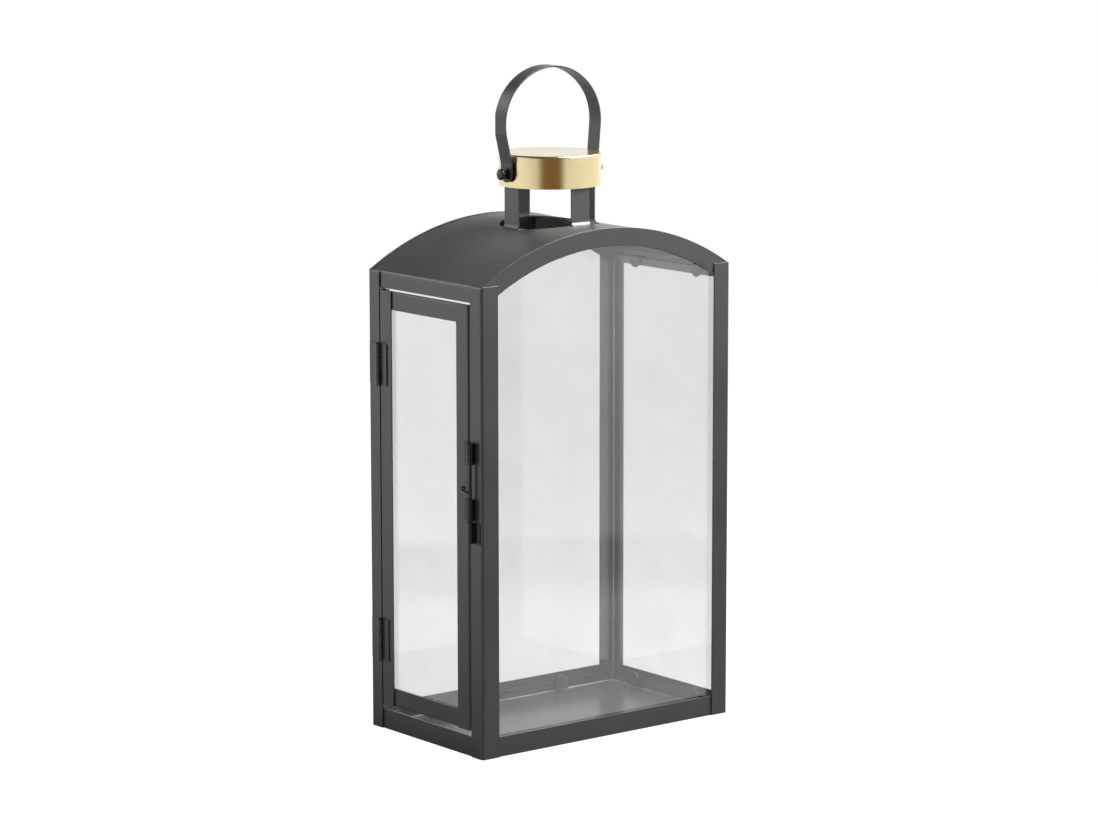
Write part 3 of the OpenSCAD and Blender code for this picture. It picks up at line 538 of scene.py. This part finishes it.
def latch_pin(coat, wire):
    """The door's sliding pin, with a wire handle that ends in an eye."""
    name, node = "latch_slide_pin", "latch_pin"
    low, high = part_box(node)
    r, tip = LATCH_PIN_R, LATCH_TIP
    x, y = high[0] - r, low[1] + r
    solid = bmesh.new()
    skin(solid, turned([
        (0, low[2]), (0.55 * r, low[2] + 0.08 * tip), (0.85 * r, low[2] + 0.5 * tip),
        (r, low[2] + 1.6 * tip), (r, high[2] - tip), (0.85 * r, high[2] - 0.35 * tip),
        (0.5 * r, high[2] - 0.05 * tip), (0, high[2])], 32))
    bmesh.ops.translate(solid, verts=solid.verts, vec=(x, y, 0))
    # The handle lies in an upright plane that runs outward and to the rear. It leaves the pin
    # along the line that touches the eye from below, and the eye is a square with round corners
    rise = math.atan2(EYE_CENTRE.y, EYE_CENTRE.x) - math.asin(EYE_R / EYE_CENTRE.length)
    t = EYE_R * Vector((math.cos(rise), math.sin(rise)))
    n = Vector((-t.y, t.x))
    corners = [Vector((0, 0)), EYE_CENTRE + t - n, EYE_CENTRE + t + n, EYE_CENTRE - t + n,
               EYE_CENTRE - t]
    outward = Vector((-math.sqrt(0.5), math.sqrt(0.5), 0))
    foot = Vector((x, y, low[2] + HANDLE_RISE))
    line = polyline("latch_handle", [foot + p.x * outward + Vector((0, 0, p.y))
                                     for p in corners])
    solid.from_mesh(grow(line, wire, {"Wire radius": WIRE_R, "Bend radius": EYE_R,
                                      "Material": coat}))
    keep(name, finish_mesh(name, solid), "latch", node, coat)


# Studio

def grey_stops(levels, reach, peak):
    """Stops of a grey ramp from (place, level) pairs, as shares of their reach and peak."""
    return [(place / reach, (level / peak, level / peak, level / peak, 1))
            for place, level in levels]


def seen_directly(tree):
    """1 for a ray that shows the white background itself: from the camera or through glass."""
    path = add(tree, "ShaderNodeLightPath").outputs
    return add(tree, "ShaderNodeMath", {0: path["Is Camera Ray"], 1: path["Is Transmission Ray"]},
               operation="MAXIMUM")


def make_world():
    """White where it is seen. Gloss and shade see a studio: a long bright wall low to the
    left rear, dimmer ones to the right rear and front right, and a dark ceiling."""
    world = bpy.data.worlds.new("studio")
    world.use_nodes = True
    bpy.context.scene.world = world
    tree = world.node_tree
    tree.nodes.clear()
    direction = add(tree, "ShaderNodeTexCoord").outputs["Generated"]
    height = add(tree, "ShaderNodeSeparateXYZ", {"Vector": direction}).outputs["Z"]
    studio = SKY_BASE
    for azimuth, levels in WALLS:
        # A wall fades with the square of the cosine from its azimuth
        side = add(tree, "ShaderNodeVectorMath", {0: direction, 1: from_azimuth(azimuth, 0, 1)},
                   operation="DOT_PRODUCT").outputs["Value"]
        side = add(tree, "ShaderNodeMath", {0: side, 1: 0.0}, operation="MAXIMUM")
        side = add(tree, "ShaderNodeMath", {0: side, 1: 2.0}, operation="POWER")
        share = add(tree, "ShaderNodeValToRGB", {"Fac": height},
                    stops=grey_stops(levels, 1, WALL_PEAK))
        level = add(tree, "ShaderNodeMath", {0: share, 1: WALL_PEAK}, operation="MULTIPLY")
        studio = add(tree, "ShaderNodeMath", {0: level, 1: side, 2: studio},
                     operation="MULTIPLY_ADD")
    strength = add(tree, "ShaderNodeMix", {"Factor": seen_directly(tree), "A": studio, "B": 1.0})
    sky = add(tree, "ShaderNodeBackground", {"Color": (1, 1, 1, 1), "Strength": strength})
    add(tree, "ShaderNodeOutputWorld", {"Surface": sky})


def make_floor():
    """A plain pale floor: it glows where it is seen, so that it stays white, and its matt part
    takes the lantern's shadow. Gloss sees it lit unevenly, brightest far off."""
    corners = [(-FLOOR_REACH, -FLOOR_REACH, 0), (FLOOR_REACH, -FLOOR_REACH, 0),
               (FLOOR_REACH, FLOOR_REACH, 0), (-FLOOR_REACH, FLOOR_REACH, 0)]
    mesh = bpy.data.meshes.new("floor")
    mesh.from_pydata(corners, [], [(0, 1, 2, 3)])
    floor = bpy.data.objects.new("floor", mesh)
    bpy.context.scene.collection.objects.link(floor)
    material, tree, output = new_material("studio_floor_white")
    place = add(tree, "ShaderNodeTexCoord").outputs["Object"]
    reach = add(tree, "ShaderNodeVectorMath", {0: place}, operation="LENGTH").outputs["Value"]
    reach = add(tree, "ShaderNodeMath", {0: reach, 1: FLOOR_REACH}, operation="DIVIDE")
    levels = []
    for by_distance in (FLOOR_ELSEWHERE, FLOOR_RIGHT, FLOOR_MIRRORED):
        share = add(tree, "ShaderNodeValToRGB", {"Fac": reach},
                    stops=grey_stops(by_distance, FLOOR_REACH, FLOOR_PEAK))
        levels.append(add(tree, "ShaderNodeMath", {0: share, 1: FLOOR_PEAK},
                          operation="MULTIPLY"))
    elsewhere, to_the_right, mirrored = levels
    side = add(tree, "ShaderNodeVectorMath", {0: place, 1: from_azimuth(45, 0, 1)},
               operation="DOT_PRODUCT").outputs["Value"]
    side = add(tree, "ShaderNodeMapRange",
               {"Value": side, "From Min": -FLOOR_BLEND, "From Max": FLOOR_BLEND})
    # Mirror rays from the panes see FLOOR_MIRRORED, with its painted dark reflected band
    sharp = add(tree, "ShaderNodeLightPath").outputs["Is Singular Ray"]
    level = elsewhere
    for chosen, other in ((side, to_the_right), (sharp, mirrored),
                          (seen_directly(tree), FLOOR_GLOW)):
        level = add(tree, "ShaderNodeMix", {"Factor": chosen, "A": level, "B": other})
    light = add(tree, "ShaderNodeEmission", {"Strength": level})
    matt = add(tree, "ShaderNodeBsdfDiffuse", {"Color": (FLOOR_MATT, FLOOR_MATT, FLOOR_MATT, 1)})
    both = add(tree, "ShaderNodeAddShader", {0: light, 1: matt})
    tree.links.new(both.outputs["Shader"], output.inputs["Surface"])
    mesh.materials.append(material)


def soft_box(name, azimuth, elevation, distance, width, height, watts):
    """A rectangular lamp that faces the lantern."""
    lamp = bpy.data.lights.new(name, "AREA")
    lamp.shape = "RECTANGLE"
    lamp.size, lamp.size_y = width, height
    lamp.energy = watts
    box = bpy.data.objects.new(name, lamp)
    bpy.context.scene.collection.objects.link(box)
    away = from_azimuth(azimuth, elevation, distance)
    turn = (-away).to_track_quat("-Z", "Y").to_matrix().to_4x4()
    box.matrix_world = Matrix.Translation(LAMP_AIM + away) @ turn


def dark_card(azimuth, distance, width, height, colour):
    """A warm dark card by the camera that glows, though it is no lamp, and that only gloss shows:
    a painted reflection that makes the dark band on the cap.
    """
    middle = from_azimuth(azimuth, 0, distance)
    across = Vector((0, 0, 1)).cross(middle).normalized()
    side, up = across * width / 2, Vector((0, 0, height))
    mesh = bpy.data.meshes.new("dark_card")
    mesh.from_pydata([middle - side, middle + side, middle + side + up, middle - side + up],
                     [], [(0, 1, 2, 3)])
    card = bpy.data.objects.new("dark_card", mesh)
    bpy.context.scene.collection.objects.link(card)
    material, tree, output = new_material("painted_reflection_card_glow")
    # It fades out towards both sides, over a little less than the outer half of each
    place = add(tree, "ShaderNodeTexCoord").outputs["Object"]
    off = add(tree, "ShaderNodeVectorMath", {0: place, 1: across},
              operation="DOT_PRODUCT").outputs["Value"]
    off = add(tree, "ShaderNodeMath", {0: off}, operation="ABSOLUTE")
    fade = add(tree, "ShaderNodeMapRange",
               {"Value": off, "From Min": 0.27 * width, "From Max": width / 2})
    # The card's warm glow is painted reflection: the cap mirrors it as its dark band
    glow = add(tree, "ShaderNodeEmission", {"Color": colour, "Strength": 1.0})
    clear = add(tree, "ShaderNodeBsdfTransparent")
    mixed = add(tree, "ShaderNodeMixShader", {"Fac": fade, 1: glow, 2: clear})
    tree.links.new(mixed.outputs["Shader"], output.inputs["Surface"])
    mesh.materials.append(material)
    card.visible_camera = card.visible_transmission = False
    card.visible_diffuse = card.visible_shadow = False


make_camera()
make_world()
make_floor()
# A glowing card that only gloss sees: painted reflection of the dark band on the cap
dark_card(azimuth=CAMERA_AZIMUTH + 3.0, distance=1.5, width=1.9, height=1.6,
          colour=(0.2, 0.115, 0.035, 1))
soft_box("soft_box_key", azimuth=-140, elevation=35, distance=1.3, width=0.7, height=0.5, watts=3)
soft_box("soft_box_right", azimuth=80, elevation=35, distance=1.4, width=0.8, height=0.8,
         watts=14)
soft_box("soft_box_front_right", azimuth=45, elevation=55, distance=0.75, width=0.5, height=0.5,
         watts=17)

# Polyester has an IOR of about 1.5; the frame and the pan shine more, as in the photograph
STEEL = powder_coat("powder_coated_steel_black", shiny=0.31, dull=0.36, ior=1.7)
PAN = powder_coat("powder_coated_steel_floor_pan", shiny=0.20, dull=0.26, ior=1.7)
BAIL = powder_coat("powder_coated_steel_bail", shiny=0.31, dull=0.36, ior=1.5)
BLACK = black_lacquer()
ZINC = zinc_plate()
LONG_PANE = float_glass("float_glass_clear_long_side", (0, 1, 0))
SHORT_PANE = float_glass("float_glass_clear_short_side", (1, 0, 0))
paint_nodes({"frame_steel": STEEL, "cap_brass": lacquered_brass(), "clear_glass": LONG_PANE,
             "zinc_hardware": ZINC, "black_hardware": BLACK},
            {"right_glass": SHORT_PANE, "door_glass": SHORT_PANE, "floor_pan": PAN,
             "bail_handle": BAIL})

THREAD, SHEET, WIRE = thread_tree(), sheet_tree(), wire_tree()
for end_name, end_side in (("left", -1), ("right", 1)):
    pivot_screw(f"pivot_screw_{end_name}", f"bail_screw_{end_name}", end_side, BLACK, THREAD)
    pivot_nut(f"pivot_nut_{end_name}", f"bail_nut_{end_name}", end_side, ZINC)
for level_name in ("lower", "upper"):
    pin = f"{level_name}_hinge_pin"
    hinge_pin(f"peened_pin_{level_name}", pin, BLACK)
    hinge_leaf(f"rolled_leaf_{level_name}_post", f"{level_name}_hinge_post_leaf", "frame", pin,
               1, STEEL, SHEET)
    hinge_leaf(f"rolled_leaf_{level_name}_door", f"{level_name}_hinge_door_leaf", "door", pin,
               -1, STEEL, SHEET)
latch_pin(BLACK, WIRE)

bpy.context.scene.view_settings.view_transform = "Standard"
